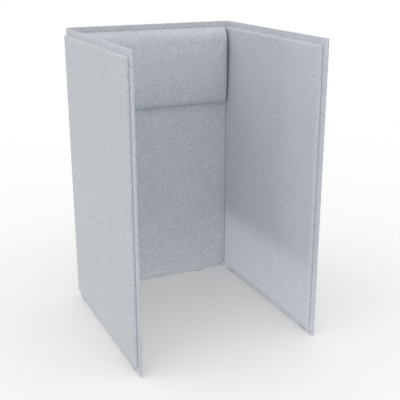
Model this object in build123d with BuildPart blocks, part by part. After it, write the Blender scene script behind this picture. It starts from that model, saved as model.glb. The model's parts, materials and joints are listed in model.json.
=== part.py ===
from build123d import *
from math import cos, radians, sin, sqrt
import os

os.makedirs("parts", exist_ok=True)

# Overall size of the three cores with the glides under them
width = 1010.0
depth = 1065.0
height = 1600.0

# Core of a panel: a thin board wrapped in fabric
core_board_thickness = 7.0
core_cover_thickness = 1.0
core_edge_chamfer = 1.2

# Top front corner of a side panel, and the rear corners, where the back panel's ends bend forward
core_corner_radius = 9.0
core_bend_radius = 38.0

# Joints between the boards: fingers of the back board's bent ends in notches of the side boards
finger_count = 4
finger_height = 130.0
finger_length = 12.0
finger_clearance = 0.15

# Upholstered pad on each face of a panel, let in from the core's edges
pad_margin = 33.0
pad_thickness = 17.0
pad_board_thickness = 3.0
pad_cover_thickness = 1.0
pad_corner_radius = 14.0
pad_edge_radius = 12.0
pad_corner_cut = 11.0
foam_edge_chamfer = 9.0
pad_turn_in = 22.0

# Mitres where the inner pads meet in the corners, and the relief of their backs over the core's bends
mitre_gap = 1.5
mitre_overrun = 30.0
bend_relief = 4.0

# Square push-in clips between a pad's board and the core's board
clip_columns = 2
clip_rows = 3
clip_column_share = 0.8
clip_row_share = 0.42
clip_stagger = 20.0
clip_flange_width = 14.0
clip_shank_width = 5.0
clip_stem_width = 6.0
clip_stem_length = 7.0
clip_clearance = 0.1

# Bolster cushion across the top of the back panel's inner face
cushion_gap = 12.0
cushion_height = 448.0
cushion_crown = 55.0
cushion_lower_edge = 18.0
cushion_lower_run = 198.0
cushion_upper_run = 78.0
cushion_end_radius = 12.0
cushion_end_steps = 3
cushion_cover_thickness = 1.0
cushion_turn_in = 25.0
cushion_board_thickness = 9.0
cushion_board_setback = 9.0

# Battens through the pad and wood screws that hold the cushion to the back board
screw_column_share = 0.6
screw_row_share = 0.6
screw_radius = 2.5
screw_head_radius = 4.8
screw_head_height = 2.6
screw_end_setback = 1.0
screw_clearance = 0.3
screw_pilot_clearance = 0.05
batten_width = 50.0
batten_end = 35.0
batten_clearance = 0.5

# Glides pushed into the lower edge of each core, each with a tang in a slot
glide_thickness = 3.0
glide_length = 60.0
glide_width = 7.0
glide_edge = 0.8
glide_tang_length = 36.0
glide_tang_width = 2.4
glide_tang_height = 14.0
glide_clearance = 0.1
side_glide_shares = (-0.4, 0.4)
back_glide_shares = (-0.3, 0.3)

# One overrun for all cuts that leave a surface
overrun = 2.0

# Sizes that follow from the ones above
core_thickness = core_board_thickness + 2 * core_cover_thickness
core_height = height - glide_thickness
core_middle = glide_thickness + core_height / 2
board_height = core_height - 2 * core_cover_thickness
front_y = -(depth + pad_thickness) / 2
back_y = front_y + depth
side_middle_y = front_y + depth / 2
side_middle_x = (width - core_thickness) / 2
back_middle_y = back_y - core_thickness / 2
joint_y = back_y - core_bend_radius
side_core_length = depth - core_bend_radius
bend_inner_radius = core_bend_radius - core_thickness
inner_width = width - 2 * core_thickness
finger_pitch = board_height / finger_count
pad_height = core_height - 2 * pad_margin
side_outer_length = depth - 2 * pad_margin
side_inner_length = depth - pad_margin - core_thickness - pad_thickness
side_inner_y = front_y + pad_margin + side_inner_length / 2
back_outer_length = width - 2 * pad_margin
back_inner_length = inner_width - 2 * pad_thickness
back_board_front_y = back_y - core_thickness + core_cover_thickness
cushion_back_y = back_y - core_thickness - pad_thickness
cushion_top = core_middle + pad_height / 2
cushion_bottom = cushion_top - cushion_height
cushion_middle = (cushion_top + cushion_bottom) / 2
cushion_length = inner_width - 2 * (pad_thickness + cushion_gap)
batten_thickness = core_cover_thickness + pad_thickness + cushion_cover_thickness


def upright(x, y, z, normal):
    """A standing plane with its x axis level, its y axis straight up and the given normal."""
    return Plane(origin=(x, y, z), x_dir=Vector(0, 0, 1).cross(Vector(*normal)), z_dir=normal)


LEFT = (-1, 0, 0)
RIGHT = (1, 0, 0)
BACK = (0, 1, 0)
FRONT = (0, -1, 0)

# Middle planes of the three cores, each with its normal pointing out of the booth
core_planes = {
    "left": upright(-side_middle_x, front_y + side_core_length / 2, core_middle, LEFT),
    "back": upright(0, back_middle_y, core_middle, BACK),
    "right": upright(side_middle_x, front_y + side_core_length / 2, core_middle, RIGHT),
}

# Planes on the core faces that carry the pads, with each pad's length
side_outer_x = width / 2
side_inner_x = width / 2 - core_thickness
pads = {
    "left_outer": (upright(-side_outer_x, side_middle_y, core_middle, LEFT), side_outer_length),
    "left_inner": (upright(-side_inner_x, side_inner_y, core_middle, RIGHT), side_inner_length),
    "back_outer": (upright(0, back_y, core_middle, BACK), back_outer_length),
    "back_inner": (upright(0, back_y - core_thickness, core_middle, FRONT), back_inner_length),
    "right_outer": (upright(side_outer_x, side_middle_y, core_middle, RIGHT), side_outer_length),
    "right_inner": (upright(side_inner_x, side_inner_y, core_middle, LEFT), side_inner_length),
}

# Which way the back panel lies along the x axis of each side panel's plane
rear_sign = {"left": -1, "right": 1}

# Which ends of the inner pads, along the x axis of their planes, meet another pad
mitred_ends = {"left_inner": [1], "back_inner": [-1, 1], "right_inner": [-1]}

# The screws' plane on the rear face of the back board, at the height of the cushion
screw_plane = upright(0, back_y - core_cover_thickness, cushion_middle, BACK)
screw_spacing_x = cushion_length * screw_column_share
screw_spacing_z = cushion_height * screw_row_share
batten_height = screw_spacing_z + 2 * batten_end


def save(part, name):
    """Labels one finished sub-part and writes it to its own file."""
    part.label = name
    export_step(part, f"parts/{name}.step")


def clip_grid(length):
    """Places of the clips on a pad of the given length, on the pad's own plane."""
    column_pitch = length * clip_column_share / (clip_columns - 1)
    row_pitch = pad_height * clip_row_share
    columns = [clip_stagger + column_pitch * (k - (clip_columns - 1) / 2) for k in range(clip_columns)]
    rows = [row_pitch * (k - (clip_rows - 1) / 2) for k in range(clip_rows)]
    return [(x, y) for x in columns for y in rows]


def panel_pads(side):
    """The pad planes and lengths that belong to one panel."""
    return [pads[f"{side}_outer"], pads[f"{side}_inner"]]


def cut_clip_holes(plane, length, width, hole_depth):
    """Cuts the square clip holes of one pad, from the given plane down."""
    with BuildSketch(plane) as squares:
        with Locations(*clip_grid(length)):
            Rectangle(width + 2 * clip_clearance, width + 2 * clip_clearance)
    extrude(squares.sketch, amount=-hole_depth, mode=Mode.SUBTRACT)


def cut_stem_holes(side, hole_depth):
    """Cuts the holes for the clips' stems in one panel's core, from both of its faces."""
    for plane, length in panel_pads(side):
        cut_clip_holes(plane, length, clip_stem_width, hole_depth)


def glide_spots(side):
    """Places of one panel's glides on the floor, each turned along its panel."""
    if side == "back":
        return [Location((share * width, back_middle_y, 0)) for share in back_glide_shares]
    x = core_planes[side].origin.X
    return [Location((x, side_middle_y + share * depth, 0), (0, 0, 90)) for share in side_glide_shares]


def cut_glide_slots(side):
    """Cuts the slots that one panel's glides are pushed into."""
    with BuildSketch(Plane.XY.offset(glide_thickness)) as slots:
        with Locations(*glide_spots(side)):
            Rectangle(glide_tang_length + 2 * glide_clearance, glide_tang_width + 2 * glide_clearance)
    extrude(slots.sketch, amount=glide_tang_height, mode=Mode.SUBTRACT)


def rear_area(inset):
    """Plan of all that lies behind the joints, let in from the core's outer face by the inset."""
    bend_x = width / 2 - core_bend_radius
    with BuildSketch() as area:
        with BuildLine():
            left = CenterArc((-bend_x, joint_y), core_bend_radius - inset, 90, 90)
            right = CenterArc((bend_x, joint_y), core_bend_radius - inset, 0, 90)
            Line(left @ 0, right @ 1)
            Line(left @ 1, right @ 0)
        make_face()
    return area.sketch


def bent_core(inset):
    """Upright body of the back core with its two bends, let in on all faces by the inset."""
    with BuildPart() as core:
        with BuildSketch(Plane.XY.offset(glide_thickness + inset)):
            add(rear_area(inset))
            add(rear_area(core_thickness - inset), mode=Mode.SUBTRACT)
        extrude(amount=core_height - 2 * inset)
    return core.part


def side_outline(side, inset):
    """Outline of a side core, let in by the inset on all sides but the joint's, top front corner rounded."""
    with BuildSketch() as outline:
        with Locations((rear_sign[side] * inset / 2, 0)):
            Rectangle(side_core_length - inset, core_height - 2 * inset)
        ends = outline.vertices().group_by(Axis.X)
        front = ends[0] if rear_sign[side] > 0 else ends[-1]
        fillet(front.sort_by(Axis.Y)[-1], core_corner_radius - inset)
    return outline.sketch


def side_body(side, inset):
    """Upright body of a side core, let in by the inset."""
    with BuildPart() as body:
        with BuildSketch(core_planes[side].offset(inset - core_thickness / 2)):
            add(side_outline(side, inset))
        extrude(amount=core_thickness - 2 * inset)
    return body.part


def add_fingers(side, each_height, mode):
    """Adds or cuts the fingers that join one side board to the back board."""
    with BuildSketch(core_planes[side].offset(-core_board_thickness / 2)) as fingers:
        with Locations((rear_sign[side] * (side_core_length - finger_length) / 2, 0)):
            with GridLocations(0, finger_pitch, 1, finger_count):
                Rectangle(finger_length, each_height)
    extrude(fingers.sketch, amount=core_board_thickness, mode=mode)


def make_side_board(side):
    """Board of a side panel, with the notches for the back board's fingers at its rear end."""
    with BuildPart() as board:
        add(side_body(side, core_cover_thickness))
        add_fingers(side, finger_height, Mode.SUBTRACT)
        cut_stem_holes(side, core_thickness - core_cover_thickness)
        cut_glide_slots(side)
    return board.part


def make_back_board():
    """Moulded board of the back panel, bent forward at both ends, with fingers and holes for the screws."""
    with BuildPart() as board:
        add(bent_core(core_cover_thickness))
        for side in rear_sign:
            add_fingers(side, finger_height - 2 * finger_clearance, Mode.ADD)
        cut_stem_holes("back", core_thickness - core_cover_thickness)
        cut_glide_slots("back")
        with Locations(screw_plane):
            with GridLocations(screw_spacing_x, screw_spacing_z, 2, 2):
                CounterSinkHole(screw_radius + screw_clearance, screw_head_radius + screw_clearance,
                                depth=core_board_thickness)
    return board.part


def chamfer_rim(edges):
    """Chamfers edges of a core cover, but none in the plane where it meets the next cover."""
    chamfer(edges.filter_by(lambda edge: abs(edge.center().Y - joint_y) > core_edge_chamfer),
            length=core_edge_chamfer)


def make_side_cover(side):
    """Fabric around a side board, open where the board meets the back board."""
    with BuildPart() as cover:
        add(side_body(side, 0))
        chamfer_rim(cover.faces().filter_by(Axis.X).edges())
        add(side_body(side, core_cover_thickness), mode=Mode.SUBTRACT)
        cut_stem_holes(side, core_cover_thickness)
        cut_glide_slots(side)
    return cover.part


def make_back_cover():
    """Fabric around the back board and its bends, open where the board meets the side boards."""
    with BuildPart() as cover:
        add(bent_core(0))
        chamfer_rim(cover.faces().filter_by(Axis.Z).edges())
        add(bent_core(core_cover_thickness), mode=Mode.SUBTRACT)
        cut_stem_holes("back", core_cover_thickness)
        cut_glide_slots("back")
        cut_batten_holes(core_cover_thickness, core_cover_thickness)
    return cover.part


def cut_batten_holes(reach, hole_depth):
    """Cuts the openings for the cushion's battens, starting the given reach in front of the back board."""
    with BuildSketch(upright(0, back_board_front_y - reach, cushion_middle, FRONT)) as openings:
        with GridLocations(screw_spacing_x, 0, 2, 1):
            Rectangle(batten_width + 2 * batten_clearance, batten_height + 2 * batten_clearance)
    extrude(openings.sketch, amount=-hole_depth, mode=Mode.SUBTRACT)


def mitre_ends(name, inset):
    """Cuts a pad body's mitred ends: a mitre to the next pad, and a back that clears the core's bend."""
    plane, length = pads[name]
    reach = core_bend_radius + mitre_overrun
    step = (mitre_gap / 2 + inset) * sqrt(2)
    for sign in mitred_ends.get(name, []):
        along = plane.x_dir * sign
        bend_centre = (plane.offset(bend_inner_radius).origin
                       + along * (length / 2 + pad_thickness - bend_inner_radius))
        with BuildSketch() as kept:
            with Locations((0, bend_relief)):
                Circle(bend_inner_radius - bend_relief - inset)
            Polygon((0, step), (reach, reach + step), (0, reach + step), align=None, mode=Mode.INTERSECT)
        with BuildSketch(Plane(origin=bend_centre, x_dir=along, z_dir=(0, 0, sign))) as cut:
            Rectangle(reach, reach, align=(Align.MIN, Align.MIN))
            add(kept.sketch, mode=Mode.SUBTRACT)
        extrude(cut.sketch, amount=pad_height / 2 + overrun, both=True, mode=Mode.SUBTRACT)


def pad_span(name, inset):
    """Middle and length of a pad's outline along its plane, run on past the mitred ends."""
    ends = mitred_ends.get(name, [])
    middle = sum(ends) * mitre_overrun / 2
    return middle, pads[name][1] + len(ends) * mitre_overrun - 2 * inset


def extrude_fill(name, start, amount):
    """Extrudes the outline of a pad's board and foam, which has cut corners, inside its cover."""
    middle, span = pad_span(name, pad_cover_thickness)
    with BuildSketch(pads[name][0].offset(start)) as outline:
        with Locations((middle, 0)):
            Rectangle(span, pad_height - 2 * pad_cover_thickness)
        chamfer(outline.vertices(), length=pad_corner_cut)
    extrude(outline.sketch, amount=amount)


def soften_front(plane, body, operation, size):
    """Fillets or chamfers the edges of a pad's front face."""
    front = body.faces().sort_by(lambda face: plane.to_local_coords(face.center()).Z)[-1]
    operation(front.edges(), size)


def make_pad_board(name):
    """Backing board of a pad, with the holes for the clips' shanks."""
    plane, length = pads[name]
    with BuildPart() as board:
        extrude_fill(name, pad_cover_thickness, pad_board_thickness)
        mitre_ends(name, pad_cover_thickness)
        board_front = pad_cover_thickness + pad_board_thickness
        cut_clip_holes(plane.offset(board_front), length, clip_shank_width, pad_board_thickness)
        if name == "back_inner":
            cut_batten_holes(core_cover_thickness + board_front, pad_board_thickness)
    return board.part


def make_pad_foam(name):
    """Fill of a pad, its front edges cut back so that the cover rounds over them."""
    start = pad_cover_thickness + pad_board_thickness
    fill = pad_thickness - pad_cover_thickness - start
    with BuildPart() as foam:
        extrude_fill(name, start, fill)
        soften_front(pads[name][0], foam, chamfer, foam_edge_chamfer)
        mitre_ends(name, pad_cover_thickness)
        if name == "back_inner":
            cut_batten_holes(core_cover_thickness + pad_thickness - pad_cover_thickness, fill)
    return foam.part


def make_pad_hollow(name):
    """The space inside a pad's cover, which its board and foam fill."""
    with BuildPart() as hollow:
        extrude_fill(name, pad_cover_thickness, pad_thickness - 2 * pad_cover_thickness)
        soften_front(pads[name][0], hollow, chamfer, foam_edge_chamfer)
        mitre_ends(name, pad_cover_thickness)
    return hollow.part


def make_pad_cover(name):
    """Fabric over a pad's front and sides, turned in behind the board."""
    plane, length = pads[name]
    middle, span = pad_span(name, 0)
    with BuildPart() as cover:
        with BuildSketch(plane):
            with Locations((middle, 0)):
                RectangleRounded(span, pad_height, pad_corner_radius)
        extrude(amount=pad_thickness)
        soften_front(plane, cover, fillet, pad_edge_radius)
        mitre_ends(name, 0)
        add(make_pad_hollow(name), mode=Mode.SUBTRACT)
        with BuildSketch(plane):
            Rectangle(length - 2 * pad_turn_in, pad_height - 2 * pad_turn_in)
        extrude(amount=pad_cover_thickness, mode=Mode.SUBTRACT)
        if name == "back_inner":
            cut_batten_holes(core_cover_thickness + pad_thickness, pad_cover_thickness)
    return cover.part


def make_clips(side):
    """The push-in clips of one panel: shank in the pad's board, flange between, stem in the core."""
    with BuildPart() as clips:
        for plane, length in panel_pads(side):
            places = clip_grid(length)
            with BuildSketch(plane.offset(-clip_stem_length)):
                with Locations(*places):
                    Rectangle(clip_stem_width, clip_stem_width)
            extrude(amount=clip_stem_length)
            with BuildSketch(plane):
                with Locations(*places):
                    Rectangle(clip_flange_width, clip_flange_width)
            extrude(amount=pad_cover_thickness)
            with BuildSketch(plane.offset(pad_cover_thickness)):
                with Locations(*places):
                    Rectangle(clip_shank_width, clip_shank_width)
            extrude(amount=pad_board_thickness)
    return clips.part


def cushion_outline(back, drawn_in):
    """Section of the cushion seen from its end: x is the distance off the back pad, y the height."""
    low = cushion_bottom + drawn_in
    high = cushion_top - drawn_in
    lower_front = (cushion_lower_edge - drawn_in, low)
    crest_low = (cushion_crown - drawn_in, cushion_bottom + cushion_lower_run)
    crest_high = (cushion_crown - drawn_in, cushion_top - cushion_upper_run)
    with BuildSketch() as outline:
        with BuildLine():
            Polyline((back, high), (back, low), lower_front)
            TangentArc(crest_low, lower_front, tangent=(0, -1))
            Line(crest_low, crest_high)
            TangentArc(crest_high, (back, high), tangent=(0, 1))
        make_face()
    return outline.sketch


def cushion_stations(inset):
    """Places along the cushion and how far the section is drawn in there: the ends are rounded."""
    half = cushion_length / 2 - inset
    stations = []
    for step in range(cushion_end_steps + 1):
        angle = radians(90 * step / cushion_end_steps)
        place = half - cushion_end_radius * (1 - sin(angle))
        stations.append((place, inset + cushion_end_radius * (1 - cos(angle))))
    return [(-place, drawn_in) for place, drawn_in in reversed(stations)] + stations


def make_cushion_body(inset):
    """The cushion's crowned form with drawn-in ends, smaller all round by the inset."""
    with BuildPart() as body:
        for place, drawn_in in cushion_stations(inset):
            with BuildSketch(upright(place, cushion_back_y, 0, LEFT)):
                add(cushion_outline(inset, drawn_in))
        loft(ruled=True)
    return body.part


cushion_board_plane = upright(0, cushion_back_y - cushion_cover_thickness, cushion_middle, FRONT)
cushion_board_length = cushion_length - 2 * cushion_end_radius - 2 * cushion_cover_thickness
cushion_board_height = cushion_height - cushion_cover_thickness - cushion_board_setback
cushion_board_shift = (cushion_cover_thickness - cushion_board_setback) / 2


def make_cushion_board():
    """Backing board of the cushion, with pilot holes for the screws."""
    with BuildPart() as board:
        with BuildSketch(cushion_board_plane):
            with Locations((0, cushion_board_shift)):
                Rectangle(cushion_board_length, cushion_board_height)
        extrude(amount=cushion_board_thickness)
        with Locations(cushion_board_plane.offset(cushion_board_thickness)):
            with GridLocations(screw_spacing_x, screw_spacing_z, 2, 2):
                Hole(screw_radius + screw_pilot_clearance, cushion_board_thickness)
    return board.part


def make_cushion_foam():
    """Foam of the cushion, with the seat of the board cut in."""
    with BuildPart() as foam:
        add(make_cushion_body(cushion_cover_thickness))
        with BuildSketch(cushion_board_plane.offset(-overrun)):
            with Locations((0, cushion_board_shift)):
                Rectangle(cushion_board_length, cushion_board_height)
        extrude(amount=cushion_board_thickness + overrun, mode=Mode.SUBTRACT)
    return foam.part


def make_cushion_cover():
    """Fabric round the cushion, turned in behind its board."""
    with BuildPart() as cover:
        add(make_cushion_body(0))
        add(make_cushion_body(cushion_cover_thickness), mode=Mode.SUBTRACT)
        with BuildSketch(cushion_board_plane):
            Rectangle(cushion_length - 2 * cushion_turn_in, cushion_height - 2 * cushion_turn_in)
        extrude(amount=-cushion_cover_thickness, mode=Mode.SUBTRACT)
    return cover.part


def make_battens():
    """Battens through the pad, between the back board and the cushion's board."""
    with BuildPart() as battens:
        with BuildSketch(upright(0, back_board_front_y, cushion_middle, FRONT)):
            with GridLocations(screw_spacing_x, 0, 2, 1):
                Rectangle(batten_width, batten_height)
            with GridLocations(screw_spacing_x, screw_spacing_z, 2, 2):
                Circle(screw_radius + screw_clearance, mode=Mode.SUBTRACT)
        extrude(amount=batten_thickness)
    return battens.part


def make_screws():
    """Countersunk wood screws through the back board and the battens into the cushion's board."""
    shank = core_board_thickness + batten_thickness + cushion_board_thickness - screw_end_setback
    with BuildPart() as screws:
        with BuildSketch(screw_plane):
            with GridLocations(screw_spacing_x, screw_spacing_z, 2, 2):
                Circle(screw_radius)
        extrude(amount=-shank)
        with Locations(screw_plane.offset(-screw_head_height / 2)):
            with GridLocations(screw_spacing_x, screw_spacing_z, 2, 2):
                Cone(screw_radius, screw_head_radius, screw_head_height)
    return screws.part


def make_glides(side):
    """Low glides under one panel, each with a tang up into the board."""
    with BuildPart() as glides:
        with BuildSketch():
            with Locations(*glide_spots(side)):
                Rectangle(glide_length, glide_width)
        extrude(amount=glide_thickness)
        chamfer(glides.faces().filter_by(Axis.Z).group_by(Axis.Z)[0].edges(), length=glide_edge)
        with BuildSketch(Plane.XY.offset(glide_thickness)):
            with Locations(*glide_spots(side)):
                Rectangle(glide_tang_length, glide_tang_width)
        extrude(amount=glide_tang_height - glide_clearance)
    return glides.part


for side in ("left", "right"):
    save(make_side_board(side), f"{side}_core_board")
    save(make_side_cover(side), f"{side}_core_cover")

save(make_back_board(), "back_core_board")
save(make_back_cover(), "back_core_cover")

for pad_name in pads:
    save(make_pad_board(pad_name), f"{pad_name}_pad_board")
    save(make_pad_foam(pad_name), f"{pad_name}_pad_foam")
    save(make_pad_cover(pad_name), f"{pad_name}_pad_cover")

for side in core_planes:
    save(make_clips(side), f"{side}_pad_clips")
    save(make_glides(side), f"{side}_glides")

save(make_cushion_board(), "cushion_board")
save(make_cushion_foam(), "cushion_foam")
save(make_cushion_cover(), "cushion_cover")
save(make_battens(), "cushion_battens")
save(make_screws(), "cushion_screws")
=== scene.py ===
import json
from math import cos, hypot, pi, radians, sin, sqrt, tan

import bpy
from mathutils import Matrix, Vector, noise


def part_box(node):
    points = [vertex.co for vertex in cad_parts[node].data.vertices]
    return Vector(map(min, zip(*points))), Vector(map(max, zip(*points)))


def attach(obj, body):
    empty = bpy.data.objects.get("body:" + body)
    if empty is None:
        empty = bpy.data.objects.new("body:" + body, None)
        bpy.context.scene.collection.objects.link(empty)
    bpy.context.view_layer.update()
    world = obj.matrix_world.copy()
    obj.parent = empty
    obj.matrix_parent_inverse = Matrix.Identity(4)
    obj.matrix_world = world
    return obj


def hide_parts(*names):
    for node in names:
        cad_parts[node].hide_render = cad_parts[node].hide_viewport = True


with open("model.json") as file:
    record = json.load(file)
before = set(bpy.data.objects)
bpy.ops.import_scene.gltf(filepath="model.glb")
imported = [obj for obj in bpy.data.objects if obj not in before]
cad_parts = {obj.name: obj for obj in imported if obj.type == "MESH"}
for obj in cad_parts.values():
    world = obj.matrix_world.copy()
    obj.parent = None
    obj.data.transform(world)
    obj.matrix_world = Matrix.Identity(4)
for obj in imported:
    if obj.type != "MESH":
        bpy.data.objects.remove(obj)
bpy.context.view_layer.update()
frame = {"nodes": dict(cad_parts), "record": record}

# Values, with lengths in metres and angles in degrees

UP = Vector((0, 0, 1))
TINY = 1e-9
EDGE_STEPS = 6

# Core covers
CORE_EDGE = 0.0028
CORE_END_EDGE = 0.0004
CORE_CORNER = 0.0075
CORE_CORNER_STEPS = 3
CORE_CELL = 0.030
CORE_RIPPLE = 0.0004
CORE_RIPPLE_SCALE = 9
BEND_STEPS = 14

# Pads
PAD_EDGE = 0.020
PAD_CORNER_POWER = 3.6
PAD_ROOT = 0.003
PAD_ROOT_STEPS = 3
PAD_ROOT_TUCK = 0.0018
PAD_CELL = 0.022
PAD_CROWN = 0.0010
PAD_CROWN_POWER = 4
PAD_RIPPLE = 0.0007
PAD_RIPPLE_LENGTH = 0.17
PAD_RIPPLE_SINK = 0.5
PAD_RIPPLE_FADE = 3
PAD_SEED_STEP = 3.7
MITRE_EDGE = 0.0025
MITRE_GAP = 0.0008

# Outward direction of each pad, and whether its low and high end, seen along it, meet another pad
PADS = {
    "left_outer": (Vector((-1, 0, 0)), (False, False)),
    "left_inner": (Vector((1, 0, 0)), (False, True)),
    "back_outer": (Vector((0, 1, 0)), (False, False)),
    "back_inner": (Vector((0, -1, 0)), (True, True)),
    "right_outer": (Vector((1, 0, 0)), (False, False)),
    "right_inner": (Vector((-1, 0, 0)), (True, False)),
}

# Bolster cushion, before the simulation swells it
CUSHION_SETBACK = 0.003
CUSHION_DROP = 0.001
CUSHION_SUPPORT = 0.0025
CUSHION_LOWER_EDGE = 0.027
CUSHION_FOOT_SHARE = 0.7
CUSHION_FOOT_RISE = 0.008
CUSHION_LOWER_RUN = 0.198
CUSHION_UPPER_RUN = 0.078
CUSHION_TOP_EDGE = 0.003
CUSHION_TOP_EXTRA_STEPS = 3
CUSHION_END = 0.0035
CUSHION_DRAW_IN = 0.0025
CUSHION_CELL = 0.008
CUSHION_DEPTH_STEPS = 4

# The simulation: its frames, the strip it holds at the back and the lower edge, how far a point may go
CUSHION_FRAMES = 20
CUSHION_HELD = 0.004
CUSHION_SWELL = 0.005
CLOTH = {
    "quality": 6,
    "mass": 0.3,
    "tension_stiffness": 20,
    "compression_stiffness": 20,
    "shear_stiffness": 8,
    "bending_stiffness": 2.0,
    "use_pressure": True,
    "uniform_pressure_force": 4.0,
}

# Part of a noise's range that is stretched over a colour or a roughness
NOISE_SPAN = (0.30, 0.70)
FIBRE_SPAN = (0.32, 0.68)
GRAIN_SPAN = (0.35, 0.65)

# Wool: names by slot, colours, grains a metre, each grain's share of the colour, relief and nap
WOOLS = {"core_fabric": "core_wool", "pad_fabric": "pad_wool", "cushion_fabric": "cushion_wool"}
WOOL_DARK = (0.352, 0.377, 0.410, 1)
WOOL_LIGHT = (0.782, 0.816, 0.863, 1)
FIBRE_SCALE = 760
THREAD_LONG = 55
THREAD_FINE = 430
MOTTLE_SCALE = 75
BROAD_SCALE = 5.0
FIBRE_SHARE = 0.30
THREAD_SHARE = 0.20
MOTTLE_SHARE = 0.25
BROAD_SHARE = 0.05
THREAD_RELIEF = 0.6
WOOL_BUMP = (0.40, 0.0012)
WOOL_ROUGHNESS = (0.86, 0.98)
WOOL_SPECULAR = 0.15
WOOL_SHEEN = 0.20
WOOL_SHEEN_ROUGHNESS = 0.45

# Plywood
PLY_DARK = (0.42, 0.28, 0.15, 1)
PLY_LIGHT = (0.66, 0.50, 0.31, 1)
PLY_STRETCH = (60, 60, 3)
PLY_GRAIN_SCALE = 1.6
PLY_VEIN_SCALE = 7.0
PLY_GRAIN_SHARE = 0.7
PLY_BUMP = (0.15, 0.0005)
PLY_ROUGHNESS = (0.5, 0.68)

# Plain grained stuffs: name, darkest and lightest colour, grains a metre, roughness, relief, metal
STUFFS = {
    "pad_backing": ("hardboard", (0.20, 0.12, 0.07, 1), (0.33, 0.21, 0.12, 1),
                    900, 0.7, 0.2, 0.0),
    "foam": ("open_foam", (0.70, 0.68, 0.60, 1), (0.86, 0.84, 0.78, 1),
             700, 0.9, 0.5, 0.0),
    "clip_plastic": ("natural_nylon", (0.66, 0.65, 0.60, 1), (0.78, 0.77, 0.73, 1),
                     1500, 0.45, 0.1, 0.0),
    "glide_plastic": ("matt_plastic", (0.20, 0.205, 0.215, 1), (0.26, 0.265, 0.275, 1),
                      1500, 0.55, 0.2, 0.0),
    "fastener_steel": ("zinc_plated_steel", (0.50, 0.50, 0.52, 1), (0.66, 0.66, 0.68, 1),
                       1200, 0.35, 0.1, 1.0),
}

# Their grain's share of the colour, how much wider the blotches are, uneven roughness, relief depth
STUFF_GRAIN_SHARE = 0.6
STUFF_BLOTCH = 12
STUFF_WEAR = 0.05
STUFF_BUMP_DEPTH = 0.0004

# Camera, fitted to the photograph's outer edges
CAMERA_PLACE = (-1.6022, -3.5720, 2.0031)
CAMERA_DOWN = 18.535
CAMERA_TURN = 25.102
CAMERA_ROLL = 0.046
CAMERA_LENS = 67.14
CAMERA_SENSOR = 36.0
CAMERA_FAR = 400

# Strength of the surroundings over and under the floor, how far they blend, and of the backdrop seen
SKY = 0.72
BELOW = 0.67
HORIZON_BLEND = 0.02
BACKDROP_SEEN = 0.995

# Soft distant lights: rise over the floor, turn to the right of the booth's front, strength, spread
SUNS = {
    "overhead": (90, 0, 0.66, 120),
    "from_left": (25, -90, 0.46, 90),
    "from_front": (50, 0, 0.15, 45),
    "from_right": (50, 55, 0.12, 45),
}

# Weak lights from under the floor on the left, the pieces that they reach and those that shade them
LOW_SUNS = {
    "low_side": (-21.5, -90, 0.46, 7),
    "low_corner": (-20.3, -70, 0.16, 7),
}
LOW_SUNS_REACH = ("right_inner_pad", "right_core", "back_inner_pad", "back_core")
LOW_SUNS_SHADED_BY = ("left_core", "left_inner_pad", "left_outer_pad")

FLOOR_REACH = 80.0

# The floor's strips under the side panels are closed: how far they reach in, their column and row
FLOOR_MARGIN = 0.045
FLOOR_CLOSED = {(1, 1), (3, 1)}

# The floor's colour: in the booth a painted warm tint against the felt's blue bounce light, beside it a
# shade darker and warmer than far off; and the distances between which it changes
# Painted warm tint inside the booth, which cancels the felt's blue bounce light there
FLOOR_INSIDE_PAINTED_WARM = (0.943, 0.914, 0.879, 1)
FLOOR_NEAR = (0.926, 0.922, 0.915, 1)
FLOOR_FAR = (0.941, 0.941, 0.941, 1)
FLOOR_NEAR_FADE = (0.3, 0.75)
FLOOR_FAR_FADE = (1.2, 5.0)


# Node tools

def feed(tree, node, **inputs):
    """Sets a node's inputs, by name or number, to values or to other nodes' outputs."""
    for key, value in inputs.items():
        socket = node.inputs[int(key[1:])] if key[0] == "_" else node.inputs[key.replace("_", " ")]
        if isinstance(value, bpy.types.NodeSocket):
            tree.links.new(value, socket)
        else:
            socket.default_value = value


def add_node(tree, kind, settings=None, **inputs):
    """A new node with its settings and inputs."""
    made = tree.nodes.new(kind)
    for key, value in (settings or {}).items():
        setattr(made, key, value)
    feed(tree, made, **inputs)
    return made


def noise_of(tree, place, scale, detail=2.0, distortion=0.0, roughness=0.5):
    """Fractal noise between about 0 and 1."""
    made = add_node(tree, "ShaderNodeTexNoise", Vector=place, Scale=scale, Detail=detail,
                    Distortion=distortion, Roughness=roughness)
    return made.outputs["Fac"]


def stretched(tree, place, scale):
    """Coordinates scaled unevenly, so that a noise read from them is drawn out."""
    return add_node(tree, "ShaderNodeMapping", Vector=place, Scale=scale).outputs[0]


def spread(tree, value, low, high, to_low=0.0, to_high=1.0):
    """Stretches a value's middle part over the wanted range."""
    made = add_node(tree, "ShaderNodeMapRange", _0=value, _1=low, _2=high, _3=to_low, _4=to_high)
    return made.outputs[0]


def calculated(tree, operation, a, b):
    """The result of a calculation with two values."""
    return add_node(tree, "ShaderNodeMath", {"operation": operation}, _0=a, _1=b).outputs[0]


def weighted(tree, *pairs):
    """Sum of values times weights."""
    total = None
    for value, weight in pairs:
        part = calculated(tree, "MULTIPLY", value, weight)
        total = part if total is None else calculated(tree, "ADD", total, part)
    return total


def mix_colours(tree, share, a, b):
    """Two colours mixed by a share."""
    return add_node(tree, "ShaderNodeMix", {"data_type": "RGBA"}, _0=share, _6=a, _7=b).outputs[2]


def bump(tree, height, strength, distance):
    """The surface direction over a fine relief."""
    return add_node(tree, "ShaderNodeBump", Height=height, Strength=strength, Distance=distance).outputs[0]


# Materials

def new_material(name):
    """An empty node material: its tree, the shader and the object's coordinates."""
    material = bpy.data.materials.new(name)
    material.use_nodes = True
    tree = material.node_tree
    shader = tree.nodes["Principled BSDF"]
    place = add_node(tree, "ShaderNodeTexCoord").outputs["Object"]
    return material, tree, shader, place


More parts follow.
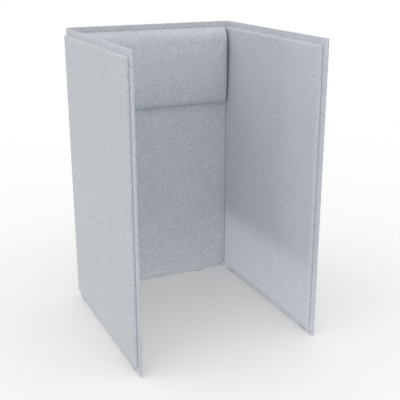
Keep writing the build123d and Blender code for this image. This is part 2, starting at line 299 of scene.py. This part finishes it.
def wool_melange(name):
    """Melange wool cloth: two-coloured fibres, slubby threads both ways, faint mottling, matt nap."""
    material, tree, shader, place = new_material(name)
    level = stretched(tree, place, (THREAD_LONG, THREAD_LONG, THREAD_FINE))
    upright = stretched(tree, place, (THREAD_FINE, THREAD_FINE, THREAD_LONG))
    fibres = noise_of(tree, place, FIBRE_SCALE, detail=4.0, distortion=1.2, roughness=0.6)
    level_threads = noise_of(tree, level, 1.0, detail=3.0, distortion=0.4)
    upright_threads = noise_of(tree, upright, 1.0, detail=3.0, distortion=0.4)
    mottle = noise_of(tree, place, MOTTLE_SCALE, distortion=0.3)
    broad = noise_of(tree, place, BROAD_SCALE)
    share = weighted(
        tree,
        (spread(tree, fibres, *FIBRE_SPAN), FIBRE_SHARE),
        (spread(tree, level_threads, *NOISE_SPAN), THREAD_SHARE),
        (spread(tree, upright_threads, *NOISE_SPAN), THREAD_SHARE),
        (spread(tree, mottle, *NOISE_SPAN), MOTTLE_SHARE),
        (spread(tree, broad, *NOISE_SPAN), BROAD_SHARE),
    )
    relief = weighted(tree, (fibres, 1.0), (level_threads, THREAD_RELIEF), (upright_threads, THREAD_RELIEF))
    feed(tree, shader, Base_Color=mix_colours(tree, share, WOOL_DARK, WOOL_LIGHT),
         Normal=bump(tree, relief, *WOOL_BUMP),
         Roughness=spread(tree, fibres, *NOISE_SPAN, *WOOL_ROUGHNESS),
         Specular_IOR_Level=WOOL_SPECULAR, Sheen_Weight=WOOL_SHEEN, Sheen_Roughness=WOOL_SHEEN_ROUGHNESS)
    return material


def plywood(name):
    """Birch plywood: long upright grain with thin darker veins."""
    material, tree, shader, place = new_material(name)
    along = stretched(tree, place, PLY_STRETCH)
    grain = noise_of(tree, along, PLY_GRAIN_SCALE, detail=4.0, distortion=0.6)
    veins = noise_of(tree, along, PLY_VEIN_SCALE, distortion=0.3)
    share = weighted(tree, (grain, PLY_GRAIN_SHARE), (veins, 1 - PLY_GRAIN_SHARE))
    feed(tree, shader, Base_Color=mix_colours(tree, spread(tree, share, *GRAIN_SPAN), PLY_DARK, PLY_LIGHT),
         Normal=bump(tree, veins, *PLY_BUMP),
         Roughness=spread(tree, grain, *NOISE_SPAN, *PLY_ROUGHNESS))
    return material


def grained(name, dark, light, scale, roughness, relief, metallic):
    """A plain stuff with fine grain, such as hardboard, foam, moulded plastic or plated steel."""
    material, tree, shader, place = new_material(name)
    grain = noise_of(tree, place, scale, detail=4.0, distortion=0.2)
    blotch = noise_of(tree, place, scale / STUFF_BLOTCH)
    share = weighted(tree, (grain, STUFF_GRAIN_SHARE), (blotch, 1 - STUFF_GRAIN_SHARE))
    wear = spread(tree, blotch, *NOISE_SPAN, roughness - STUFF_WEAR, roughness + STUFF_WEAR)
    feed(tree, shader, Base_Color=mix_colours(tree, spread(tree, share, *GRAIN_SPAN), dark, light),
         Normal=bump(tree, grain, relief, STUFF_BUMP_DEPTH), Roughness=wear, Metallic=metallic)
    return material


materials = {slot: wool_melange(name) for slot, name in WOOLS.items()}
materials["core_board"] = plywood("birch_plywood")
materials.update({slot: grained(*stuff) for slot, stuff in STUFFS.items()})


# Mesh tools

def clamp(value, low, high):
    """The value kept between two limits."""
    return min(max(value, low), high)


def quarter_turn(step, steps):
    """The angle, in radians, of a step on the way to a right angle."""
    return step * pi / 2 / steps


def rim_steps(radius):
    """Distances from an edge whose push onto a round edge gives even angles."""
    turns = [radians(45) * (EDGE_STEPS - k) / EDGE_STEPS for k in range(EDGE_STEPS + 1)]
    return [radius * (1 - tan(turn)) for turn in turns]


def lines_between(low, high, near, far, cell):
    """Grid lines between two ends: given distances from each end, and even cells between them."""
    start, stop = low + near[-1], high - far[-1]
    count = max(1, round((stop - start) / cell))
    middle = [start + (stop - start) * k / count for k in range(1, count)]
    return [low + r for r in near] + middle + [high - r for r in reversed(far)]


def box_grid(lines):
    """Points and faces of a box's surface, cut along the lines of its three axes."""
    last = [len(axis_lines) - 1 for axis_lines in lines]
    index = {}
    points = []
    faces = []

    def corner(place):
        if place not in index:
            index[place] = len(points)
            points.append(Vector([lines[axis][place[axis]] for axis in range(3)]))
        return index[place]

    for axis in range(3):
        a, b = (axis + 1) % 3, (axis + 2) % 3
        for side in (0, last[axis]):
            for i in range(last[a]):
                for j in range(last[b]):
                    ring = []
                    for di, dj in ((0, 0), (1, 0), (1, 1), (0, 1)):
                        place = [0, 0, 0]
                        place[axis] = side
                        place[a] = i + di
                        place[b] = j + dj
                        ring.append(corner(tuple(place)))
                    faces.append(ring if side else ring[::-1])
    return points, faces


def quad(near, far, k):
    """The face between two lines of points, from their point k to the next."""
    return [near[k], far[k], far[k + 1], near[k + 1]]


def new_piece(name, points, faces, slot, replaced):
    """A smooth-shaded mesh piece that stands for the given CAD nodes."""
    mesh = bpy.data.meshes.new(name)
    mesh.from_pydata([tuple(p) for p in points], [], faces)
    mesh.shade_smooth()
    piece = bpy.data.objects.new(name, mesh)
    bpy.context.scene.collection.objects.link(piece)
    piece.data.materials.append(materials[slot])
    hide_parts(*replaced)
    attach(piece, "root")
    return piece


def box_of(node):
    """Lowest and highest corner of a CAD node as vectors."""
    low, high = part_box(node)
    return Vector(low), Vector(high)


# Core covers

core_low, core_high = box_of("left_core_cover")
rear_low, rear_high = box_of("back_core_cover")
core_thickness = core_high.x - core_low.x
bend_radius = rear_high.y - rear_low.y
bend_inner_radius = bend_radius - core_thickness


def core_section(edge, drawn_in):
    """Half of the core's upright section, upwards: distance off its middle plane and height."""
    off = core_thickness / 2 - drawn_in
    low, high = core_low.z + drawn_in, core_high.z - drawn_in
    turns = [quarter_turn(k, EDGE_STEPS) for k in range(EDGE_STEPS + 1)]
    arc = [(edge * sin(turn), edge * (1 - cos(turn))) for turn in turns]
    count = round((core_high.z - core_low.z) / CORE_CELL)
    step = (high - low - 2 * edge) / count
    middle = [(off, low + edge + step * k) for k in range(1, count)]
    lower = [(off - edge + x, low + z) for x, z in arc]
    upper = [(off - edge + x, high - z) for x, z in reversed(arc)]
    return lower + middle + upper


def round_top_corner(place):
    """Bends the top front corner of a side core round."""
    from_front = place.y - core_low.y
    from_top = core_high.z - place.z
    across, upright = CORE_CORNER - from_front, CORE_CORNER - from_top
    if across <= 0 or upright <= 0:
        return place
    shrink = max(across, upright) / hypot(across, upright)
    return Vector((place.x, core_low.y + CORE_CORNER - across * shrink,
                   core_high.z - CORE_CORNER + upright * shrink))


def core_points(stations):
    """Points of a core cover, one ring for each station."""
    points = []
    for middle, outward, half in stations:
        for sign, section in ((1, half), (-1, reversed(half))):
            for off, z in section:
                place = Vector((middle[0], middle[1], z)) + outward * off * sign
                wave = max(0.0, noise.noise(place * CORE_RIPPLE_SCALE)) * CORE_RIPPLE
                points.append(round_top_corner(place - outward * sign * wave))
    return points


def sweep_core(name, stations):
    """A core cover swept through stations, each with its middle, outward side and half section."""
    points = core_points(stations)
    ring = 2 * len(stations[0][2])
    faces = []
    for s in range(len(stations) - 1):
        for k in range(ring):
            a, b = s * ring + k, s * ring + (k + 1) % ring
            faces.append([a, b, b + ring, a + ring])
    for first, turned in ((0, True), ((len(stations) - 1) * ring, False)):
        copies = len(points)
        points.extend(points[first:first + ring])
        for k in range(ring // 2 - 1):
            face = [copies + k, copies + k + 1, copies + ring - 2 - k, copies + ring - 1 - k]
            faces.append(face[::-1] if turned else face)
    new_piece(name, points, faces, "core_fabric", [f"{name}_cover"])


def make_side_core(side):
    """Core cover of a side panel: soft front edge, round top corner, flat end at the rear bend."""
    outward = PADS[f"{side}_outer"][0]
    x = outward.x * (abs(core_low.x) - core_thickness / 2)
    stations = []
    for k in range(EDGE_STEPS + 1):
        turn = quarter_turn(k, EDGE_STEPS)
        drawn_in = CORE_EDGE * (1 - sin(turn))
        half = core_section(max(CORE_END_EDGE, CORE_EDGE - drawn_in), drawn_in)
        stations.append(((x, core_low.y + CORE_EDGE * (1 - cos(turn))), outward, half))
    half = core_section(CORE_EDGE, 0.0)
    start, stop = core_low.y + CORE_EDGE, core_high.y
    run = CORE_CORNER - CORE_EDGE
    near = [start + run * k / CORE_CORNER_STEPS for k in range(1, CORE_CORNER_STEPS + 1)]
    count = round((stop - near[-1]) / CORE_CELL)
    far = [near[-1] + (stop - near[-1]) * k / count for k in range(1, count + 1)]
    stations += [((x, y), outward, half) for y in near + far]
    sweep_core(f"{side}_core", stations if side == "left" else stations[::-1])


def make_back_core():
    """Core cover of the back panel with its two ends bent forward."""
    radius = bend_radius - core_thickness / 2
    centre_x = rear_high.x - bend_radius
    half = core_section(CORE_EDGE, 0.0)
    count = round(2 * centre_x / CORE_CELL)
    turns = [quarter_turn(k, BEND_STEPS) for k in range(BEND_STEPS + 1)]
    bend = [(-centre_x, Vector((-cos(turn), sin(turn), 0))) for turn in turns]
    straight = [(centre_x * (2 * k / count - 1), Vector((0, 1, 0))) for k in range(1, count)]
    other_bend = [(-x, Vector((-side.x, side.y, 0))) for x, side in reversed(bend)]
    stations = [((x + side.x * radius, rear_low.y + side.y * radius), side, half)
                for x, side in bend + straight + other_bend]
    sweep_core("back_core", stations)


# Upholstered pads

corner_x = box_of("right_inner_pad_cover")[0].x
corner_y = box_of("back_inner_pad_cover")[0].y


def pillow_centre(point, half_length, half_height, mitred):
    """Nearest point of the flat inner field, which runs on to the mitred ends."""
    low = -half_length if mitred[0] else PAD_EDGE - half_length
    high = half_length if mitred[1] else half_length - PAD_EDGE
    return clamp(point.x, low, high), clamp(point.y, PAD_EDGE - half_height, half_height - PAD_EDGE)


def pillow_edge(point, centre, thickness):
    """A point of a flat block pushed onto a pad whose free edges curve back over their thickness."""
    stretch = PAD_EDGE / (thickness - PAD_ROOT)
    away_x, away_y = point.x - centre[0], point.y - centre[1]
    away_z = max(0.0, (point.z - PAD_ROOT) * stretch)
    power = PAD_CORNER_POWER
    flat = (abs(away_x) ** power + abs(away_y) ** power) ** (1 / power)
    size = hypot(flat, away_z)
    if size < TINY:
        return point.copy()
    grow = PAD_EDGE / size
    height = PAD_ROOT + away_z * grow / stretch if away_z > 0 else point.z
    if away_z == 0:
        grow *= 1 - PAD_ROOT_TUCK / PAD_EDGE * (1 - point.z / PAD_ROOT) ** 2
    return Vector((centre[0] + away_x * grow, centre[1] + away_y * grow, height))


def mitre_end(place, half_length, thickness, sign):
    """Shapes a mitred end: a small round edge, a mitre below it, a back that clears the core's bend."""
    from_end = half_length - sign * place.x
    field = bend_inner_radius - thickness
    if from_end > field:
        return
    z = clamp(place.z, 0.0, thickness)
    mitre = bend_inner_radius - z
    relief = sqrt(bend_inner_radius ** 2 - mitre ** 2) + MITRE_GAP
    reach = min(mitre, relief)
    along = (field - from_end) / field
    if z > thickness - MITRE_EDGE:
        drop = MITRE_EDGE - (thickness - z)
        reach -= MITRE_EDGE - sqrt(max(0.0, MITRE_EDGE ** 2 - drop ** 2))
    place.x = sign * (half_length - field + along * (reach - MITRE_GAP))


def swell_front(place, half_length, half_height, thickness, seed):
    """Moves a point of a pad's front half: a slight crown and a slight ripple."""
    crown = ((1 - (place.x / half_length) ** PAD_CROWN_POWER)
             * (1 - (place.y / half_height) ** PAD_CROWN_POWER))
    wave = noise.noise(Vector((place.x / PAD_RIPPLE_LENGTH, place.y / PAD_RIPPLE_LENGTH, seed)))
    ripple = PAD_RIPPLE * (wave - PAD_RIPPLE_SINK) * min(1.0, PAD_RIPPLE_FADE * crown)
    share = (place.z - thickness / 2) / (thickness / 2)
    place.z += share * (PAD_CROWN * (crown - 1) + ripple)


def pad_point(point, half_length, half_height, thickness, mitred, seed):
    """A point of the pad: tight and very slightly crowned over the front, tucked in at the root."""
    centre = pillow_centre(point, half_length, half_height, mitred)
    inside = centre == (point.x, point.y) and point.z < thickness / 2
    place = point.copy() if inside else pillow_edge(point, centre, thickness)
    if place.z > thickness / 2:
        swell_front(place, half_length, half_height, thickness, seed)
    for ends_here, sign in zip(mitred, (-1, 1)):
        if ends_here:
            mitre_end(place, half_length, thickness, sign)
    return place


def pad_grid(half_length, half_height, thickness, mitred):
    """The flat block that becomes a pad: fine at free ends' round edges and close to mitred ends."""
    rim = rim_steps(PAD_EDGE)
    seam = [0.0, MITRE_EDGE, 2 * MITRE_EDGE, PAD_EDGE]
    near, far = [seam if ends_here else rim for ends_here in mitred]
    rise = thickness - PAD_ROOT
    root = [PAD_ROOT * k / PAD_ROOT_STEPS for k in range(PAD_ROOT_STEPS)]
    return box_grid([
        lines_between(-half_length, half_length, near, far, PAD_CELL),
        lines_between(-half_height, half_height, rim, rim, PAD_CELL),
        root + [thickness - r * rise / PAD_EDGE for r in reversed(rim)],
    ])


def make_pad(name, seed):
    """One upholstered pad on a core's face."""
    outward, mitred = PADS[name]
    along = UP.cross(outward)
    low, high = box_of(f"{name}_pad_cover")
    size = high - low
    half_height = size.z / 2
    thickness = abs(size.x * outward.x) + abs(size.y * outward.y)
    ends = sorted((low.dot(along), high.dot(along)))
    for k, sign in enumerate((-1, 1)):
        if mitred[k]:
            ends[k] = sign * (abs(along.x) * corner_x + abs(along.y) * corner_y)
    half_length = (ends[1] - ends[0]) / 2
    root = (low + high) / 2 - outward * thickness / 2
    root += along * ((ends[0] + ends[1]) / 2 - root.dot(along))
    points, faces = pad_grid(half_length, half_height, thickness, mitred)
    shaped = []
    for point in points:
        p = pad_point(point, half_length, half_height, thickness, mitred, seed)
        shaped.append(root + along * p.x + UP * p.y + outward * p.z)
    pad = new_piece(f"{name}_pad", shaped, faces, "pad_fabric", [f"{name}_pad_cover", f"{name}_pad_foam"])


# Bolster cushion

def arc_from_upright(start, end, steps):
    """Points after start of an arc that leaves start straight up or down and ends at end."""
    run, rise = start[0] - end[0], abs(end[1] - start[1])
    radius = (run ** 2 + rise ** 2) / (2 * run)
    points = []
    for k in range(1, steps + 1):
        up = rise * k / steps
        x = start[0] - radius + sqrt(max(0.0, radius ** 2 - up ** 2))
        points.append((x, start[1] + up * (1 if end[1] > start[1] else -1)))
    return points


def cushion_front(low, high, crown, drawn_in):
    """Front line of the cushion's section, upwards: distance off the back pad and height."""
    off = crown - drawn_in
    crest_low, crest_high = low + CUSHION_LOWER_RUN, high - CUSHION_UPPER_RUN
    lower_steps = round(CUSHION_LOWER_RUN / CUSHION_CELL)
    upper_steps = round(CUSHION_UPPER_RUN / CUSHION_CELL) + CUSHION_TOP_EXTRA_STEPS
    middle_steps = round((crest_high - crest_low) / CUSHION_CELL)
    foot = (CUSHION_LOWER_EDGE - min(drawn_in, CUSHION_FOOT_SHARE * CUSHION_LOWER_EDGE),
            low + drawn_in + CUSHION_FOOT_RISE)
    lower = arc_from_upright((off, crest_low), foot, lower_steps)[::-1]
    (foot_off, foot_z), (next_off, next_z) = lower[:2]
    support = (foot_off + CUSHION_SUPPORT * (next_off - foot_off) / (next_z - foot_z),
               foot_z + CUSHION_SUPPORT)
    middle = [(off, crest_low + (crest_high - crest_low) * k / middle_steps)
              for k in range(middle_steps + 1)]
    upper = arc_from_upright((off, crest_high), (CUSHION_TOP_EDGE, high - drawn_in), upper_steps)
    return [lower[0], support] + lower[1:] + middle + upper


def cushion_stations(half):
    """Places along the cushion and how far the section is drawn in there: the ends are rounded."""
    count = round((2 * half - 2 * CUSHION_END) / CUSHION_CELL)
    inner = [(half - CUSHION_END) * (2 * k / count - 1) for k in range(count + 1)]
    ends = []
    for k in range(1, EDGE_STEPS + 1):
        along = CUSHION_END * k / EDGE_STEPS
        drawn_in = CUSHION_END - sqrt(max(0.0, CUSHION_END ** 2 - along ** 2))
        ends.append((half - CUSHION_END + along, drawn_in))
    return [(-x, drawn_in) for x, drawn_in in reversed(ends)] + [(x, 0.0) for x in inner] + ends


def bottom_point(foot, share):
    """A point of the bottom, which rises to the foot: distance off the back pad and height."""
    off = (foot[0] - CUSHION_SUPPORT) * share
    return off, foot[1] - CUSHION_FOOT_RISE * (1 - (off / foot[0]) ** 2)


def add_points(points, x, section):
    """Adds a section's points to the list and gives their numbers."""
    first = len(points)
    points += [(x, off, z) for off, z in section]
    return list(range(first, len(points)))


def cushion_section(points, x, line):
    """Adds a section of the cushion: the numbers of its front, back, bottom and top points."""
    steps = range(1, CUSHION_DEPTH_STEPS)
    foot, (top_off, top_z) = line[0], line[-1]
    front = add_points(points, x, line)
    back = add_points(points, x, [(0.0, foot[1] - CUSHION_FOOT_RISE)] + [(0.0, z) for off, z in line[1:]])
    bottom = add_points(points, x, [bottom_point(foot, k / (CUSHION_DEPTH_STEPS - 1)) for k in steps])
    top = add_points(points, x, [(top_off * k / CUSHION_DEPTH_STEPS, top_z) for k in steps])
    return front, back, [back[0], *bottom, front[0]], [front[-1], *top[::-1], back[-1]]


def cushion_cap(points, x, line, section):
    """Adds an end's inner points: its rows, upwards, each from the back to the front."""
    front, back, bottom, top = section
    rows = [bottom]
    for i, (off, z) in enumerate(line[1:-1], 1):
        places = [(off * k / CUSHION_DEPTH_STEPS, z) for k in range(1, CUSHION_DEPTH_STEPS)]
        rows.append([back[i], *add_points(points, x, places), front[i]])
    return rows + [top[::-1]]


def cushion_faces(sections, caps):
    """Faces between the cushion's sections and over its two ends."""
    faces = []
    for near, far in zip(sections, sections[1:]):
        for i in range(len(near[0]) - 1):
            faces.append(quad(near[0], far[0], i))
            faces.append(quad(near[1], far[1], i)[::-1])
        for side in (2, 3):
            faces += [quad(near[side], far[side], k) for k in range(CUSHION_DEPTH_STEPS)]
    for rows, turned in zip(caps, (False, True)):
        columns = list(zip(*rows))
        for i in range(len(rows) - 1):
            for k in range(CUSHION_DEPTH_STEPS):
                face = quad(columns[k], columns[k + 1], i)
                faces.append(face[::-1] if turned else face)
    return faces


def cushion_mesh(low, high):
    """The closed crowned form as a clean grid, with its back flat on the pad."""
    crown = high.y - low.y - CUSHION_SETBACK
    stations = cushion_stations((high.x - low.x) / 2)
    points = []
    sections = []
    caps = []
    for number, (x, drawn_in) in enumerate(stations):
        line = cushion_front(low.z, high.z, crown, drawn_in)
        sections.append(cushion_section(points, x, line))
        if number in (0, len(stations) - 1):
            caps.append(cushion_cap(points, x, line, sections[-1]))
    middle_x = (high.x + low.x) / 2
    placed = [Vector((middle_x + x, high.y - off, z)) for x, off, z in points]
    return placed, cushion_faces(sections, caps)


def swell(piece, held):
    """Blows a closed mesh up a little as cloth, with the held points fixed, and keeps the result."""
    scene = bpy.context.scene
    group = piece.vertex_groups.new(name="held")
    group.add(held, 1.0, "REPLACE")
    cloth = piece.modifiers.new("cloth", "CLOTH")
    for key, value in CLOTH.items():
        setattr(cloth.settings, key, value)
    cloth.settings.vertex_group_mass = group.name
    cloth.settings.effector_weights.gravity = 0
    cloth.collision_settings.use_collision = False
    cloth.point_cache.frame_start = 1
    cloth.point_cache.frame_end = CUSHION_FRAMES
    for number in range(1, CUSHION_FRAMES + 1):
        scene.frame_set(number)
    graph = bpy.context.evaluated_depsgraph_get()
    moved = [v.co.copy() for v in piece.evaluated_get(graph).data.vertices]
    piece.modifiers.remove(cloth)
    piece.vertex_groups.remove(group)
    scene.frame_set(1)
    for vertex, place in zip(piece.data.vertices, moved):
        step = place - vertex.co
        if step.length > CUSHION_SWELL:
            step *= CUSHION_SWELL / step.length
        vertex.co += step
    piece.data.update()


def make_cushion():
    """The bolster across the back panel: the crowned form, blown up a little as cloth."""
    low, high = box_of("cushion_cover")
    low += Vector((CUSHION_DRAW_IN, 0, -CUSHION_DROP))
    high.x -= CUSHION_DRAW_IN
    points, faces = cushion_mesh(low, high)
    cushion = new_piece("cushion", points, faces, "cushion_fabric", ["cushion_cover", "cushion_foam"])
    back = high.y - CUSHION_HELD
    foot = low.z + CUSHION_FOOT_RISE + CUSHION_HELD
    swell(cushion, [k for k, p in enumerate(points) if p.y > back or p.z < foot])
    cushion.modifiers.new("smooth", "SUBSURF").render_levels = 1


make_side_core("left")
make_back_core()
make_side_core("right")

for number, pad_name in enumerate(PADS):
    make_pad(pad_name, PAD_SEED_STEP * number)

make_cushion()


# Pieces kept from the frame

for entry in frame["record"]["subparts"]:
    kept = frame["nodes"][entry["node"]]
    kept.data.materials.clear()
    kept.data.materials.append(materials[entry["material_slot"]])


# Floor, light and camera

def showing_rays(tree):
    """One for the rays that show floor and backdrop: from the camera, in metal and through glass."""
    path = add_node(tree, "ShaderNodeLightPath").outputs
    return weighted(tree, *[(path[f"Is {kind} Ray"], 1.0) for kind in ("Camera", "Glossy", "Transmission")])


def floor_colour_with_painted_tint(tree):
    """White, with a painted warm tint in the booth against the felt's blue bounce light, a shade darker
    beside it, and fuller far off.
    """
    place = add_node(tree, "ShaderNodeNewGeometry").outputs["Position"]
    distance = add_node(tree, "ShaderNodeVectorMath", {"operation": "LENGTH"}, _0=place).outputs["Value"]
    outside = mix_colours(tree, spread(tree, distance, *FLOOR_FAR_FADE), FLOOR_NEAR, FLOOR_FAR)
    # Painted warm tint in the booth against the felt's blue bounce light, a shade darker beside it than far
    # off
    return mix_colours(tree, spread(tree, distance, *FLOOR_NEAR_FADE), FLOOR_INSIDE_PAINTED_WARM, outside)


def floor_material(name, let_through):
    """A white floor with a painted warm tint in the booth, which may let the light from below through to
    the object.
    """
    material = bpy.data.materials.new(name)
    material.use_nodes = True
    tree = material.node_tree
    tree.nodes.clear()
    shown = add_node(tree, "ShaderNodeBsdfDiffuse", Color=floor_colour_with_painted_tint(tree)).outputs[0]
    if let_through:
        clear = add_node(tree, "ShaderNodeBsdfTransparent").outputs[0]
        shown = add_node(tree, "ShaderNodeMixShader", _0=showing_rays(tree), _1=clear, _2=shown).outputs[0]
    add_node(tree, "ShaderNodeOutputMaterial", Surface=shown)
    return material


def floor_lines():
    """Where the floor is cut across and along, at the outsides and insides of the panels."""
    across = [-FLOOR_REACH, box_of("left_outer_pad_cover")[0].x,
              box_of("left_inner_pad_cover")[1].x + FLOOR_MARGIN,
              box_of("right_inner_pad_cover")[0].x - FLOOR_MARGIN,
              box_of("right_outer_pad_cover")[1].x, FLOOR_REACH]
    along = [-FLOOR_REACH, box_of("left_core_cover")[0].y, box_of("back_inner_pad_cover")[0].y,
             box_of("back_outer_pad_cover")[1].y, FLOOR_REACH]
    return across, along


def make_floor():
    """A wide white floor that keeps the object's soft shadow and is closed under the side panels."""
    across, along = floor_lines()
    width = len(across)
    points = [(x, y, 0) for y in along for x in across]
    cells = [(column, row) for row in range(len(along) - 1) for column in range(width - 1)]
    corners = [column + row * width for column, row in cells]
    mesh = bpy.data.meshes.new("floor")
    mesh.from_pydata(points, [], [(k, k + 1, k + 1 + width, k + width) for k in corners])
    mesh.materials.append(floor_material("studio_floor", True))
    mesh.materials.append(floor_material("studio_floor_closed", False))
    for face, cell in zip(mesh.polygons, cells):
        face.material_index = int(cell in FLOOR_CLOSED)
    floor = bpy.data.objects.new("floor", mesh)
    bpy.context.scene.collection.objects.link(floor)


def make_world():
    """Plain white surroundings, with a strength of their own under the floor, and a white backdrop."""
    world = bpy.data.worlds.new("studio")
    world.use_nodes = True
    tree = world.node_tree
    direction = add_node(tree, "ShaderNodeTexCoord").outputs["Generated"]
    height = add_node(tree, "ShaderNodeSeparateXYZ", Vector=direction).outputs["Z"]
    lighting = spread(tree, height, -HORIZON_BLEND, HORIZON_BLEND, BELOW, SKY)
    strength = add_node(tree, "ShaderNodeMix", {"data_type": "FLOAT"}, _0=showing_rays(tree),
                        _2=lighting, _3=BACKDROP_SEEN).outputs[0]
    feed(tree, tree.nodes["Background"], Color=(1, 1, 1, 1), Strength=strength)
    bpy.context.scene.world = world


def make_sun(name, rise, turn, strength, angle):
    """A soft distant light: its rise over the floor and its turn to the right of the booth's front."""
    light = bpy.data.lights.new(name, "SUN")
    light.energy = strength
    light.angle = radians(angle)
    lamp = bpy.data.objects.new(name, light)
    lamp.rotation_euler = (radians(90 - rise), 0, radians(turn))
    bpy.context.scene.collection.objects.link(lamp)
    return lamp


def pieces_named(collection_name, names):
    """A collection of the scene's pieces with the given names."""
    collection = bpy.data.collections.new(collection_name)
    for name in names:
        collection.objects.link(bpy.context.scene.objects[name])
    return collection


def make_lights():
    """The soft lights, and the low ones that reach only the inside of the back and right panels."""
    for name, sun in SUNS.items():
        make_sun(name, *sun)
    for name, sun in LOW_SUNS.items():
        linking = make_sun(name, *sun).light_linking
        linking.receiver_collection = pieces_named(f"{name}_receivers", LOW_SUNS_REACH)
        linking.blocker_collection = pieces_named(f"{name}_blockers", LOW_SUNS_REACH + LOW_SUNS_SHADED_BY)


def make_camera():
    """The photograph's camera."""
    data = bpy.data.cameras.new("camera")
    data.lens = CAMERA_LENS
    data.sensor_width = CAMERA_SENSOR
    data.clip_end = CAMERA_FAR
    camera = bpy.data.objects.new("camera", data)
    camera.location = CAMERA_PLACE
    camera.rotation_euler = (radians(90 - CAMERA_DOWN), radians(CAMERA_ROLL), radians(-CAMERA_TURN))
    bpy.context.scene.collection.objects.link(camera)
    bpy.context.scene.camera = camera


make_floor()
make_world()
make_lights()
make_camera()
bpy.context.scene.view_settings.view_transform = "Standard"
